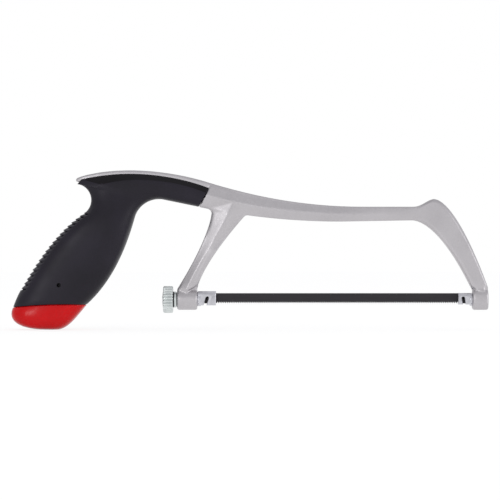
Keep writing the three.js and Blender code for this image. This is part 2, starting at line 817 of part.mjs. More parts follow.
// Knob: a thick nut with rounded flutes, chamfered at both ends, slightly domed and tapped right through
function makeKnob() {
  const points = [];
  const steps = fluteCount * 4;
  for (let step = 0; step < steps; step++) {
    const turn = (2 * Math.PI * step) / steps;
    const wave = 0.5 - 0.5 * Math.cos(turn * fluteCount);
    const reach = knobDiameter / 2 - fluteDepth * wave;
    points.push(side(reach * Math.cos(turn), reach * Math.sin(turn)));
  }
  const fluted = plate(outline(points), knobLength * 2);
  fluted.rotateZ(Math.PI / 2);
  fluted.translate(knobBack, 0, 0);
  const radius = knobDiameter / 2 / Math.cos(Math.PI / facetsRound);
  const blank = turned([
    [knobBack - knobDomeHeight, 0],
    [knobBack - knobDomeHeight, knobDomeDiameter / 2],
    [knobBack, radius - knobEdge],
    [knobBack + knobEdge, radius],
    [stackEnd - knobEdge, radius],
    [stackEnd, radius - knobEdge],
    [stackEnd, 0],
  ]);
  const boreRadius = studDiameter / 2 + runningGap;
  const bore = roundBar(knobBack - knobLength, stackEnd + knobLength, boreRadius, studEdge);
  return toSolid(fluted).intersect(blank).subtract(bore);
}

// Blade: a strip with raked teeth along its lower edge, set in a wave that dies out at both ends
function makeBlade() {
  const end = pinSpacing / 2 + bladeOverhang;
  const back = bladeHeight / 2 - pinAboveMiddle;
  const edge = back - bladeHeight;
  const gullet = edge + toothDepth;
  const teeth = Math.floor((2 * (end - plainEnd)) / toothSpacing);
  const first = (-teeth * toothSpacing) / 2;
  const points = [side(-end, back), side(-end, edge), side(first - toothSpacing, edge)];
  for (let tooth = 0; tooth < teeth; tooth++) {
    const x = first + tooth * toothSpacing;
    points.push(side(x, gullet), side(x + toothSpacing * 0.85, edge));
  }
  points.push(side(-first, gullet), side(-first + toothSpacing, edge), side(end, edge), side(end, back));
  const shape = outline(points);
  for (const x of [rearPinX, frontPinX]) {
    const hole = new THREE.Path();
    hole.absarc(x, 0, bladePinDiameter / 2 + pinSeatGap, 0, 2 * Math.PI);
    shape.holes.push(hole);
  }
  const geometry = plate(shape, bladeThickness);
  const corners = geometry.getAttribute("position");
  for (let i = 0; i < corners.count; i++) {
    const isTip = corners.getZ(i) < edge + toothDepth / 2;
    const fade = smoothstep(-first - Math.abs(corners.getX(i)), toothSpacing, teethPerWave * toothSpacing);
    const wave = Math.sin((2 * Math.PI * corners.getX(i)) / (teethPerWave * toothSpacing));
    corners.setY(i, corners.getY(i) + (isTip ? setOffset * fade * wave : 0));
  }
  return toSolid(geometry);
}

// Cross pin of the blade, chamfered at both ends
function makeBladePin() {
  const radius = bladePinDiameter / 2;
  const half = bladePinLength / 2;
  const inset = radius - bladePinEdge;
  const profile = [[0, -half], [inset, -half], [radius, bladePinEdge - half]];
  profile.push([radius, half - bladePinEdge], [inset, half], [0, half]);
  return toSolid(new THREE.LatheGeometry(profile.map((pair) => new THREE.Vector2(...pair)), 16));
}

const castAluminium = new THREE.MeshStandardMaterial({ color: 0xb4b2b6, roughness: 0.38, metalness: 0.9 });
const blackRubber = new THREE.MeshStandardMaterial({ color: 0x2d2b31, roughness: 0.75, metalness: 0 });
const redPlastic = new THREE.MeshStandardMaterial({ color: 0xbf1418, roughness: 0.35, metalness: 0 });
const platedSteel = new THREE.MeshStandardMaterial({ color: 0xcfcdd4, roughness: 0.25, metalness: 1 });
const darkSteel = new THREE.MeshStandardMaterial({ color: 0x5c5a60, roughness: 0.45, metalness: 0.9 });
const blackNylon = new THREE.MeshStandardMaterial({ color: 0x262629, roughness: 0.6, metalness: 0 });
const blackedBlade = new THREE.MeshStandardMaterial({ color: 0x232228, roughness: 0.5, metalness: 0.4 });

// A named piece of the saw in its finish
function piece(name, solid, material) {
  const mesh = new THREE.Mesh(toGeometry(solid), material);
  mesh.name = name;
  return mesh;
}

const saw = new THREE.Group();
saw.add(piece("frame", makeFrame(), castAluminium));

const handle = new THREE.Group();
handle.add(piece("grip", makeGrip(), blackRubber));
handle.add(piece("end_cap", makeEndCap(), redPlastic));
const capPin = piece("cap_pin", makeCapPin(), darkSteel);
capPin.position.set(capPinPlace.x, 0, capPinPlace.y);
handle.add(capPin);
saw.add(handle);

const tensioner = new THREE.Group();
const steelWasherStart = rearFace - rearBossLength - faceGap - steelWasherThickness;
const frictionWasherStart = steelWasherStart - faceGap - frictionWasherThickness;
tensioner.add(piece("rear_blade_holder", makeRearHolder(), platedSteel));
tensioner.add(piece("steel_washer", makeWasher(steelWasherStart, steelWasherThickness), platedSteel));
const frictionWasher = makeWasher(frictionWasherStart, frictionWasherThickness);
tensioner.add(piece("friction_washer", frictionWasher, blackNylon));
tensioner.add(piece("tension_knob", makeKnob(), platedSteel));
saw.add(tensioner);
saw.add(piece("front_blade_holder", makeFrontHolder(), platedSteel));

const bladeSet = new THREE.Group();
bladeSet.position.z = pinRise;
bladeSet.add(piece("blade", makeBlade(), blackedBlade));
for (const [name, x] of [["rear_blade_pin", rearPinX], ["front_blade_pin", frontPinX]]) {
  const pin = piece(name, makeBladePin(), darkSteel);
  pin.position.x = x;
  bladeSet.add(pin);
}
saw.add(bladeSet);

// The saw stands on its lowest point, over the middle of its length
saw.updateMatrixWorld(true);
const extent = new THREE.Box3().setFromObject(saw);
saw.position.set(-(extent.min.x + extent.max.x) / 2, 0, -extent.min.z);

export default saw;
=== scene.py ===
import math

import bmesh
import bpy
from mathutils import Matrix, Vector


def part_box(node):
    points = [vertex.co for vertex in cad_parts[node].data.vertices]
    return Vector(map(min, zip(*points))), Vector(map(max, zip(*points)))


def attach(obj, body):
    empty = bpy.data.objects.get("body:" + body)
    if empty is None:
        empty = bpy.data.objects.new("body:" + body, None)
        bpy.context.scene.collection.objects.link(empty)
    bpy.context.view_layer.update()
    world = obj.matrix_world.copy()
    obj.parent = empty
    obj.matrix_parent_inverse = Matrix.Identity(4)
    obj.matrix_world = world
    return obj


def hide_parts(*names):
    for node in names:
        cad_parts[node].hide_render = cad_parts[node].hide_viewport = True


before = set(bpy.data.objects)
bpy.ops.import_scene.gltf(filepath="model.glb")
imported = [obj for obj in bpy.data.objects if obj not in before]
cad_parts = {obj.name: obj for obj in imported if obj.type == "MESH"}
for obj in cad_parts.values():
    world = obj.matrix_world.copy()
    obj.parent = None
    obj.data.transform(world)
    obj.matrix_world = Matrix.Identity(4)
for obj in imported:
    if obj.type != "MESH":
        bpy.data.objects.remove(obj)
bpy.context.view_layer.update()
scene = bpy.context.scene
scene.view_settings.view_transform = "Standard"

# The saw is seen square from its right side through a long lens, as for a catalogue, so nothing
# in it leans or converges. The middle of the picture lies between the blade and the bar.
mm = 0.001
picture_width = 287.5 * mm
picture_middle = Vector((0.09 * mm, 0, 45.77 * mm))
camera_distance, view_limit = 1.5, 30
sensor_width = 36
camera_lens = bpy.data.cameras.new("long_lens")
camera_lens.sensor_width = sensor_width
camera_lens.lens = sensor_width * camera_distance / picture_width
camera_lens.clip_end = view_limit
camera = bpy.data.objects.new("camera", camera_lens)
camera.location = picture_middle - Vector((0, camera_distance, 0))
camera.rotation_euler = (math.radians(90), 0, 0)
scene.collection.objects.link(camera)
scene.camera = camera


# The studio is a white room with a sheet of white paper for a floor. A small bright soft box stands
# to the left of the camera, a broad one to the right and a weak one overhead. The walls of the room
# grow darker from the floor up to the ceiling.
def linear(code):
    """Linear colour of an sRGB hex code."""
    shares = [int(code[i:i + 2], 16) / 255 for i in (1, 3, 5)]
    return (*[s / 12.92 if s <= 0.04045 else ((s + 0.055) / 1.055) ** 2.4 for s in shares], 1)


def node(tree, kind, inputs=None, **settings):
    """Adds a node. Its inputs, by name or number, are values or the sockets that feed them."""
    made = tree.nodes.new(kind)
    for name, value in settings.items():
        setattr(made, name, value)
    for key, value in (inputs or {}).items():
        if isinstance(value, bpy.types.NodeSocket):
            tree.links.new(value, made.inputs[key])
        else:
            made.inputs[key].default_value = value
    return made


def seen_by(tree):
    """Sockets that say whether the camera sees a surface directly, and whether it sees it directly,
    in a mirror or through glass."""
    path = node(tree, "ShaderNodeLightPath").outputs
    shown = node(tree, "ShaderNodeMath", {0: path["Is Camera Ray"], 1: path["Is Glossy Ray"]},
                 operation="MAXIMUM")
    shown = node(tree, "ShaderNodeMath", {0: shown.outputs[0], 1: path["Is Transmission Ray"]},
                 operation="MAXIMUM")
    return path["Is Camera Ray"], shown.outputs[0]


room_light, left_wall, right_wall = 1.2, 0.8, 1.1
room_tones = [(0, "#ffffff"), (0.5, "#f2f2f3"), (0.66, "#e9e9eb"), (0.85, "#e1e1e3"), (1, "#cacacd")]
room = bpy.data.worlds.new("white_room")
room.use_nodes = True
scene.world = room
tree = room.node_tree
tree.nodes.clear()
by_camera, shown = seen_by(tree)
look = node(tree, "ShaderNodeTexCoord")
way = node(tree, "ShaderNodeSeparateXYZ", {0: look.outputs["Generated"]})
upward = node(tree, "ShaderNodeMapRange", {0: way.outputs["Z"], 1: -1, 2: 1, 3: 0, 4: 1})
walls = node(tree, "ShaderNodeValToRGB", {0: upward.outputs[0]})
for height, _ in room_tones[1:-1]:
    walls.color_ramp.elements.new(height)
for stop, (height, code) in zip(walls.color_ramp.elements, room_tones):
    stop.position, stop.color = height, linear(code)
sideways = node(tree, "ShaderNodeMapRange", {0: way.outputs["X"], 1: -1, 2: 1, 3: left_wall, 4: right_wall})
sides = node(tree, "ShaderNodeVectorMath", {0: walls.outputs[0], 3: sideways.outputs[0]}, operation="SCALE")
paint = node(tree, "ShaderNodeMix", {0: by_camera, 6: sides.outputs[0], 7: linear("#ffffff")},
             data_type="RGBA")
level = node(tree, "ShaderNodeMapRange", {0: shown, 1: 0, 2: 1, 3: room_light, 4: 1})
light = node(tree, "ShaderNodeBackground", {0: paint.outputs[2], 1: level.outputs[0]})
node(tree, "ShaderNodeOutputWorld", {0: light.outputs[0]})


def new_finish(name):
    """A material with an empty node tree, and that tree."""
    finish = bpy.data.materials.new(name)
    finish.use_nodes = True
    finish.node_tree.nodes.clear()
    return finish, finish.node_tree


floor_size, floor_colour, floor_glow, glow_level = 8, "#f8f8f8", 0.76, 1.06
sweep = bmesh.new()
bmesh.ops.create_grid(sweep, x_segments=2, y_segments=2, size=floor_size / 2)
floor_mesh = bpy.data.meshes.new("floor")
sweep.to_mesh(floor_mesh)
sweep.free()
floor = bpy.data.objects.new("floor", floor_mesh)
scene.collection.objects.link(floor)
# White paper: matt, and lit up where the camera sees it, so that it stays white round the shadow.
white_paper, tree = new_finish("white_paper_sweep")
_, shown = seen_by(tree)
glow_share = node(tree, "ShaderNodeMath", {0: shown, 1: floor_glow}, operation="MULTIPLY")
paper = node(tree, "ShaderNodeBsdfDiffuse", {0: linear(floor_colour)})
glow = node(tree, "ShaderNodeEmission", {0: linear("#ffffff"), 1: glow_level})
lit = node(tree, "ShaderNodeMixShader", {0: glow_share.outputs[0], 1: paper.outputs[0], 2: glow.outputs[0]})
node(tree, "ShaderNodeOutputMaterial", {0: lit.outputs[0]})
floor_mesh.materials.append(white_paper)


def soft_box(name, place, size, watts):
    """A soft box of some width and height that faces the saw."""
    lamp = bpy.data.lights.new(name, "AREA")
    lamp.shape = "RECTANGLE"
    lamp.size, lamp.size_y = size
    lamp.energy = watts
    box = bpy.data.objects.new(name, lamp)
    box.location = place
    box.rotation_euler = (picture_middle - Vector(place)).to_track_quat("-Z", "Y").to_euler()
    scene.collection.objects.link(box)


soft_box("left_box", place=(-0.63, -1.32, 0.31), size=(0.5, 0.2), watts=2)
soft_box("right_box", place=(1.35, -0.6, 0.1), size=(1, 1), watts=5)
soft_box("top_box", place=(0.1, -0.4, 1.7), size=(1.2, 1.2), watts=1)


# The frame is one aluminium die casting: spine, bar, both legs and both bosses. It is tumbled to
# an even satin after casting, so every edge is softly rounded and no joint shows between its parts.
def merged_copy(name):
    """A joined-up copy of a solid's triangles, to model on."""
    shape = bmesh.new()
    shape.from_mesh(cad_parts[name].data)
    bmesh.ops.remove_doubles(shape, verts=shape.verts, dist=0.002 * mm)
    return shape


def shaped(shape, *steps):
    """Runs modifiers, each a type with its settings, on a shape for good."""
    mesh = bpy.data.meshes.new("shaping")
    shape.to_mesh(mesh)
    shape.free()
    bench = bpy.data.objects.new("shaping", mesh)
    scene.collection.objects.link(bench)
    for kind, settings in steps:
        step = bench.modifiers.new(kind.lower(), kind)
        for name, value in settings.items():
            setattr(step, name, value)
    done = bmesh.new()
    done.from_object(bench, bpy.context.evaluated_depsgraph_get())
    bpy.data.objects.remove(bench)
    bpy.data.meshes.remove(mesh)
    return done


def add_piece(name, shape, finish, body, solid, crease=35):
    """Puts a finished shape in the scene, on its body and in place of its solid. Edges that turn by more
    than the crease, in degrees, look sharp."""
    for face in shape.faces:
        face.smooth = True
    for edge in shape.edges:
        edge.smooth = edge.calc_face_angle(0) < math.radians(crease)
    mesh = bpy.data.meshes.new(name)
    shape.to_mesh(mesh)
    shape.free()
    mesh.materials.append(finish)
    piece = bpy.data.objects.new(name, mesh)
    scene.collection.objects.link(piece)
    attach(piece, body)
    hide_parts(solid)
    return piece


def mixed(first, second, share):
    """Value between two others."""
    return first + (second - first) * share


def ease(value, start, end):
    """Rises smoothly from 0 at start to 1 at end."""
    share = min(1, max(0, (value - start) / (end - start)))
    return share * share * (3 - 2 * share)


# The strip over the grip is a low arch that thins to a tail at the back. It is a little flatter than
# in the solid, and what lies under the strip stays where it is.
boss_length = 11.8 * mm
axis_height = sum(corner.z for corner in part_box("tension_knob")) / 2
boss_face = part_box("steel_washer")[1].x + boss_length
neck_under = Vector((boss_face + 0.9 * mm, axis_height + 53.15 * mm))
neck_top = neck_under + Vector((7.6 * mm, 13.5 * mm))
spine_run, spine_rise = 47.2 * mm, 7.95 * mm
tail_run, tail_fall, tail_tip = 31 * mm, 3.8 * mm, 2.6 * mm
spine_apex = neck_top + Vector((-spine_run, spine_rise))
spine_drop, drop_end, drop_gone = 0.4 * mm, -25 * mm, 20 * mm
drop_depth, drop_floor = 3 * mm, 6 * mm


def drop_at(x):
    """How much flatter the arch of the strip is than in the solid."""
    return spine_drop * (1 - ease(x - boss_face, drop_end, drop_gone))


def spine_top(x):
    """Height of the strip of the casting over the grip."""
    away = x - spine_apex.x
    fall = spine_rise * (away / spine_run) ** 2 if away > 0 else tail_fall * (away / tail_run) ** 2
    return spine_apex.y - fall - drop_at(x)


def with_flat_arch(shape):
    """Lowers the strip over the grip, and less and less what lies under it."""
    for corner in shape.verts:
        if corner.co.x < boss_face + drop_gone:
            under = spine_top(corner.co.x) - corner.co.z
            corner.co.z -= drop_at(corner.co.x) * (1 - ease(under, drop_depth, drop_floor))
    return shape


def flattened(out, wall, shoulder, chamfer_kept, ridge_kept):
    """Distance from the middle plane, where only a share of an edge's chamfer and of the ridge is kept."""
    full = shoulder - chamfer_kept * (shoulder - wall)
    if out > shoulder:
        return shoulder + (out - shoulder) * ridge_kept
    if out > wall:
        return mixed(full, shoulder, (out - wall) / (shoulder - wall))
    return out * full / wall


# The faces of the bar and of both legs run out flat to their edges. The ridge of the bar dies out
# towards the hump, and low on the rear leg the front face leans out past its ridge to catch the light.
# The front boss has full shoulders. A pair of values is for the foot and for the head of a leg.
casting_grain, tumbling_rounds = 0.46 * mm, 5
bar_height, bar_start, bar_end, bar_blend = 43 * mm, 14 * mm, 134 * mm, 8 * mm
bar_wall, bar_shoulder, ridge_end, ridge_gone = 3.3 * mm, 4.6 * mm, 70 * mm, 118 * mm
bar_chamfer, bar_ridge = 0.2, 0.3
leg_foot, leg_head, leg_back, leg_front = 7.5 * mm, 43 * mm, -17 * mm, 36 * mm
leg_walls, leg_shoulders, leg_chamfers = (2.5 * mm, 3 * mm), (3.8 * mm, 4.3 * mm), (0.6, 0.2)
leg_ridge, leg_ridge_gain, leg_ridge_low = 0.72, 1.2, 0.55
foot_line, foot_slope, foot_top, foot_runout = -4.2 * mm, 0.506, 35 * mm, 7 * mm
foot_leans, foot_blend, head_blend = (0.14 / mm, 0.066 / mm), 4 * mm, 8 * mm
front_leg_start, front_foot, front_head = 120 * mm, 6 * mm, 46 * mm
front_walls, front_shoulder, front_chamfers = (2.6 * mm, 3.6 * mm), 4.8 * mm, (0.1, 0.2)
front_foot_blend, front_head_blend = 2 * mm, 14 * mm
front_boss_start, front_boss_reach, front_boss_blend, front_boss_square = 157 * mm, 7.4 * mm, 0.8 * mm, 3
casting = shaped(merged_copy("frame"), ("REMESH", {"mode": "VOXEL", "voxel_size": casting_grain}))
for corner in casting.verts:
    ahead, out, up = corner.co.x - boss_face, abs(corner.co.y), corner.co.z - axis_height
    form, blend = out, 0
    if up > bar_height and bar_start < ahead < bar_end:
        fade = min(1, max(0, (ahead - ridge_end) / (ridge_gone - ridge_end)))
        form = flattened(out, bar_wall, bar_shoulder, bar_chamfer, mixed(1, bar_ridge, fade))
        blend = min(1, (ahead - bar_start) / bar_blend, (bar_end - ahead) / bar_blend)
    elif leg_foot < up < leg_head and leg_back < ahead < leg_front:
        share = (up - leg_foot) / (leg_head - leg_foot)
        ridge = leg_ridge + leg_ridge_gain * (share - leg_ridge_low) ** 2
        form = flattened(out, mixed(*leg_walls, share), mixed(*leg_shoulders, share),
                         mixed(*leg_chamfers, share), ridge)
        beyond = max(0, ahead - foot_line - (up - leg_foot) * foot_slope)
        lean = min(1, max(0, (foot_top - up) / foot_runout))
        form *= 1 + mixed(*foot_leans, share) * lean * beyond
        blend = min(1, (up - leg_foot) / foot_blend, (leg_head - up) / head_blend)
    elif front_foot < up < front_head and ahead > front_leg_start:
        share = (up - front_foot) / (front_head - front_foot)
        form = flattened(out, mixed(*front_walls, share), front_shoulder, mixed(*front_chamfers, share), 1)
        blend = min(1, (up - front_foot) / front_foot_blend, (front_head - up) / front_head_blend)
    corner.co.y = math.copysign(mixed(out, form, blend), corner.co.y)
    reach = math.hypot(out, up)
    if ahead > front_boss_start and 0 < reach < front_boss_reach:
        powers = (out / reach) ** front_boss_square + abs(up / reach) ** front_boss_square
        blend = min(1, (front_boss_reach - reach) / front_boss_blend)
        fuller = mixed(1, powers ** (-1 / front_boss_square), blend)
        corner.co.y *= fuller
        corner.co.z = axis_height + up * fuller
with_flat_arch(casting)
for _ in range(tumbling_rounds):
    bmesh.ops.smooth_vert(casting, verts=casting.verts, factor=0.5, use_axis_x=True, use_axis_y=True,
                          use_axis_z=True)

# Tumbled die-cast aluminium: a grey satin metal with a fine even grain from the tumbling stones
# and a little tone from the skin of the casting. The grain is drawn coarser than real, to show.
tumble_grain, skin_patch = 0.8 * mm, 14 * mm
noise_low, noise_high = 0.3, 0.7  # most of a noise pattern lies between these
satin_aluminium, tree = new_finish("tumbled_die_cast_aluminium")
place = node(tree, "ShaderNodeTexCoord").outputs["Object"]
grain = node(tree, "ShaderNodeTexNoise", {"Vector": place, "Scale": 1 / tumble_grain, "Detail": 3,
                                          "Roughness": 0.6})
skin = node(tree, "ShaderNodeTexNoise", {"Vector": place, "Scale": 1 / skin_patch, "Detail": 4,
                                         "Roughness": 0.55})
tone = node(tree, "ShaderNodeMix", {0: 0.45, 2: grain.outputs[0], 3: skin.outputs[0]})
tone = node(tree, "ShaderNodeMapRange", {0: tone.outputs[0], 1: noise_low, 2: noise_high, 3: 0, 4: 1})
colour = node(tree, "ShaderNodeMix", {0: tone.outputs[0], 6: linear("#b5b2b5"), 7: linear("#c4c1c4")},
              data_type="RGBA")
gloss = node(tree, "ShaderNodeMapRange", {0: grain.outputs[0], 1: noise_low, 2: noise_high, 3: 0.36,
                                          4: 0.48})
relief = node(tree, "ShaderNodeBump", {"Strength": 0.25, "Distance": 0.03 * mm, "Height": grain.outputs[0]})
metal = node(tree, "ShaderNodeBsdfPrincipled", {"Base Color": colour.outputs[2], "Metallic": 1,
                                                "Roughness": gloss.outputs[0], "Normal": relief.outputs[0]})
node(tree, "ShaderNodeOutputMaterial", {0: metal.outputs[0]})
add_piece("cast_frame", casting, satin_aluminium, "frame", "frame", crease=60)

# The grip is black rubber moulded round the tang and the spine of the casting. Its section goes
# from a full palm to a narrow neck, and saw-tooth ribs down its back keep the hand from sliding.
strip_depth, strip_flare, mould_gap = 1.95 * mm, 0.5 * mm, 0.3 * mm
rake = math.radians(33)
grip_root = spine_apex - Vector((10 * mm, 22 * mm))
grip_length, butt_depth = 66 * mm, 35.4 * mm
grip_thickness, neck_thickness, neck_front_thickness = 25.98 * mm, 16.8 * mm, 13.8 * mm
taper_start, taper_end = 0.8, 1.3
web_radius, web_start, web_bevel = 9.3 * mm, -45, 0.5
finger_radius, finger_start, finger_crown, finger_end, finger_run = 14.5 * mm, 163, 103, 80, 0.38
neck_bevel, bevel_limit, bevel_run, bevel_start, flank_start = 3.7 * mm, 0.4, 0.3, 0.56, 0.97
rib_count, first_rib, rib_spacing, rib_depth, rib_reach = 18, 10.6 * mm, 3.05 * mm, 0.95 * mm, 3.6 * mm
rib_fade, shallow_rib = 0.7, 0.4
bow_crest, bow_rise, bow_fall, bow_reach = 0.62, 0.3 * mm, 1.7 * mm, 9 * mm
section_steps, squareness = 34, 2.9
mould_edge = 0.35 * mm


def on_grip(down, across):
    """Point of the side view, down the raked grip and across it towards the fingers."""
    away = Vector((across * math.cos(rake) - down * math.sin(rake),
                   -down * math.cos(rake) - across * math.sin(rake)))
    return grip_root + away


def on_curve(corners, share):
    """Point of a smooth curve that starts and ends on its outer corners and is drawn to the others."""
    while len(corners) > 1:
        corners = [a.lerp(b, share) for a, b in zip(corners, corners[1:])]
    return corners[0]


def on_arc(middle, radius, degrees):
    """Point of a circle in the side view."""
    turn = math.radians(degrees)
    return middle + radius * Vector((math.cos(turn), math.sin(turn)))


def palm_thickness(share):
    """Thickness of the grip up its back, from the full palm into the narrow neck."""
    return mixed(grip_thickness, neck_thickness, ease(share, taper_start, taper_end))


def butt_bow(share):
    """How far the joint of grip and cap rises above its plane, from back to front."""
    if share < bow_crest:
        return bow_rise - bow_fall * (1 - share / bow_crest) ** 1.6
    return bow_rise - bow_rise * ((share - bow_crest) / (1 - bow_crest)) ** 2


def grip_section(back, front, thickness, neck=0, groove=0, bow=0):
    """Ring round the grip: a squarish oval palm, or a neck with bevelled upper flanks."""
    across = front - back
    bevel = min(bevel_limit, neck_bevel / max(abs(across.y), mm))
    ring = []
    for step in range(2 * section_steps):
        turn = math.pi * step / section_steps
        along, out = math.cos(turn), math.sin(turn)
        wide = abs(out) ** (2 / squareness)
        share = 0.5 - 0.5 * math.copysign(abs(along) ** (2 / squareness), along)
        if along > 0:
            flank = bevel * min(1, max(0, (wide - bevel_start) / (flank_start - bevel_start)))
            flank += (0.5 - bevel) * max(0, (wide - flank_start) / (1 - flank_start))
            share = mixed(share, flank, neck)
        cut = groove * (1 - ease(share * across.length, rib_reach * rib_fade, rib_reach))
        share += cut / across.length
        point = back + across * share + Vector((0, bow * butt_bow(share)))
        ring.append((point.x, math.copysign(wide * (thickness / 2 - cut), out), point.y))
    return ring


def loft(sections):
    """Closed shape through rings of points, each bridged to the next."""
    shape = bmesh.new()
    rings = []
    for section in sections:
        points = [shape.verts.new(point) for point in section]
        rings.append([shape.edges.new((points[i - 1], points[i])) for i in range(len(points))])
    for ring, following in zip(rings, rings[1:]):
        bmesh.ops.bridge_loops(shape, edges=ring + following)
    ends = [bmesh.ops.contextual_create(shape, geom=ring)["faces"][0] for ring in (rings[0], rings[-1])]
    bmesh.ops.recalc_face_normals(shape, faces=shape.faces)
    return shape, ends


butt_back = on_grip(grip_length + butt_depth / 2 * math.tan(rake), -butt_depth / 2)
butt_front = on_grip(grip_length - butt_depth / 2 * math.tan(rake), butt_depth / 2)
root_back = on_grip(9.9 * mm, -11.5 * mm)
root_front = on_grip(-2.6 * mm, 13.5 * mm)
back_edge = [butt_back, on_grip(grip_length * 0.88, -19.9 * mm), on_grip(grip_length * 0.45, -21 * mm),
             root_back]
front_edge = [butt_front, on_grip(grip_length * 0.53, 22.9 * mm), on_grip(grip_length * 0.22, 18.9 * mm),
              root_front]
back_length = (butt_back - root_back).length
web_middle = root_back + web_radius * Vector((-math.sqrt(0.5), math.sqrt(0.5)))
finger_middle = on_arc(root_front, finger_radius, finger_start - 180)

# From the butt up the ribbed back. Each rib stands up steeply out of its notch and slopes back to the
# next one: its form is given in shares of the spacing and of the depth.
sections = []
root_share = 0.99
stations = [(0, 0), (first_rib / 3, 0), (first_rib * 0.7, 0), (first_rib * 0.93, 0)]
rib_form = [(0, 1), (0.07, 0.82), (0.14, 0.28), (0.21, 0), (0.32, 0.04), (0.5, 0.3), (0.75, 0.68)]
for rib in range(rib_count + 1):
    for rise, groove in rib_form:
        stations.append((first_rib + (rib + rise) * rib_spacing, groove))
last_rib = first_rib + (rib_count + 0.2) * rib_spacing
for height, groove in stations:
    share = height / back_length
    if share < root_share:
        depth = rib_depth * groove * (1 if height < last_rib else shallow_rib)
        sections.append(grip_section(on_curve(back_edge, share), on_curve(front_edge, share),
                                     palm_thickness(share), 0, depth, max(0, 1 - height / bow_reach) ** 2))

# Round the web for the thumb, up to the tail of the strip.
tail = spine_apex.x - tail_run + tail_tip / 3
tail_point = Vector((tail, spine_top(tail) - strip_depth - tail_tip / 2))
web_end = math.degrees(math.atan2(*(tail_point - web_middle).yx))
web_steps = 24
for step in range(web_steps + 1):
    share = step / web_steps
    back = on_arc(web_middle, web_radius, mixed(web_start, web_end, share))
    front = on_arc(finger_middle, finger_radius, mixed(finger_start, finger_crown, share))
    sections.append(grip_section(back, front, palm_thickness(1 + share / 3), share * web_bevel))

# Along the neck under the strip, to the slanted end at the bar.
slant = (neck_top - neck_under).normalized()
rearward = Vector((-slant.y, slant.x)) * mould_gap
end_under = neck_under + rearward
end_top = neck_top + rearward - slant * (strip_depth + strip_flare)
neck_steps = 36
for step in range(1, neck_steps + 1):
    share = step / neck_steps
    x = mixed(tail, end_top.x, share)
    back = Vector((x, spine_top(x) - strip_depth - strip_flare * share ** 6))
    degrees = mixed(finger_crown, finger_end, min(1, share / finger_run))
    front = on_arc(finger_middle, finger_radius, degrees)
    front = front.lerp(end_under, max(0, share - finger_run) / (1 - finger_run))
    thickness = mixed(neck_thickness, neck_front_thickness, share)
    sections.append(grip_section(back, front, thickness, mixed(web_bevel, 1, min(1, share / bevel_run))))
moulding, ends = loft(sections)
for end in ends:
    bmesh.ops.bevel(moulding, geom=list(end.edges), offset=mould_edge, segments=2, profile=0.5,
                    affect="EDGES", material=-1)


def combined(shape, other, operation):
    """Takes one closed shape out of another, or joins the two."""
    mesh = bpy.data.meshes.new("tool")
    other.to_mesh(mesh)
    other.free()
    tool = bpy.data.objects.new("tool", mesh)
    scene.collection.objects.link(tool)
    done = shaped(shape, ("BOOLEAN", {"operation": operation, "solver": "EXACT", "object": tool}))
    bpy.data.objects.remove(tool)
    bpy.data.meshes.remove(mesh)
    return done


def bar_along(start, end, radius, segments=32):
    """Plain round bar between two points."""
    shape = bmesh.new()
    run = end - start
    turn = run.to_track_quat("Z", "Y").to_matrix().to_4x4()
    bmesh.ops.create_cone(shape, cap_ends=True, segments=segments, radius1=radius, radius2=radius,
                          depth=run.length, matrix=Matrix.Translation((start + end) / 2) @ turn)
    return shape


# The casting and the pin of the cap lie in the rubber with a fine gap round them.
casting_room, bore_gap, bore_depth = mould_gap * 0.8, 0.02 * mm, 1.5 * mm
pin_low, pin_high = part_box("cap_pin")
pin_middle = (pin_low + pin_high) / 2
pin_radius = (pin_high.x - pin_low.x) / 2
pin_end = Vector((0, (pin_high.y - pin_low.y) / 2, 0))
bore_mouth, bore_floor = Vector((0, grip_thickness, 0)), pin_end - Vector((0, bore_depth, 0))
room_for_casting = shaped(with_flat_arch(merged_copy("frame")),
                          ("DISPLACE", {"strength": casting_room, "mid_level": 0}))
moulding = combined(moulding, room_for_casting, "DIFFERENCE")
for side in (-1, 1):
    bore = bar_along(pin_middle + side * bore_floor, pin_middle + side * bore_mouth, pin_radius + bore_gap)
    moulding = combined(moulding, bore, "DIFFERENCE")


def moulded_rubber(name, deep, worn_tone, smooth, rough, sheen):
    """Black rubber with a fine texture from the mould, rubbed a little smoother and paler in patches
    where the hand lies. The texture is drawn coarser than real, to show."""
    mould_texture, rubbed_patch = 0.6 * mm, 22 * mm
    finish, tree = new_finish(name)
    place = node(tree, "ShaderNodeTexCoord").outputs["Object"]
    texture = node(tree, "ShaderNodeTexNoise", {"Vector": place, "Scale": 1 / mould_texture, "Detail": 2,
                                                "Roughness": 0.6})
    rubbed = node(tree, "ShaderNodeTexNoise", {"Vector": place, "Scale": 1 / rubbed_patch, "Detail": 3,
                                               "Roughness": 0.55})
    worn = node(tree, "ShaderNodeMapRange", {0: rubbed.outputs[0], 1: 0.35, 2: 0.68, 3: 0, 4: 1})
    speckled = node(tree, "ShaderNodeMix", {0: 0.35, 2: worn.outputs[0], 3: texture.outputs[0]})
    colour = node(tree, "ShaderNodeMix", {0: speckled.outputs[0], 6: linear(deep), 7: linear(worn_tone)},
                  data_type="RGBA")
    gloss = node(tree, "ShaderNodeMapRange", {0: worn.outputs[0], 1: 0, 2: 1, 3: rough, 4: smooth})
    relief = node(tree, "ShaderNodeBump", {"Strength": 0.3, "Distance": 0.04 * mm,
                                           "Height": texture.outputs[0]})
    rubber = node(tree, "ShaderNodeBsdfPrincipled",
                  {"Base Color": colour.outputs[2], "Roughness": gloss.outputs[0],
                   "Specular IOR Level": sheen, "Normal": relief.outputs[0]})
    node(tree, "ShaderNodeOutputMaterial", {0: rubber.outputs[0]})
    return finish


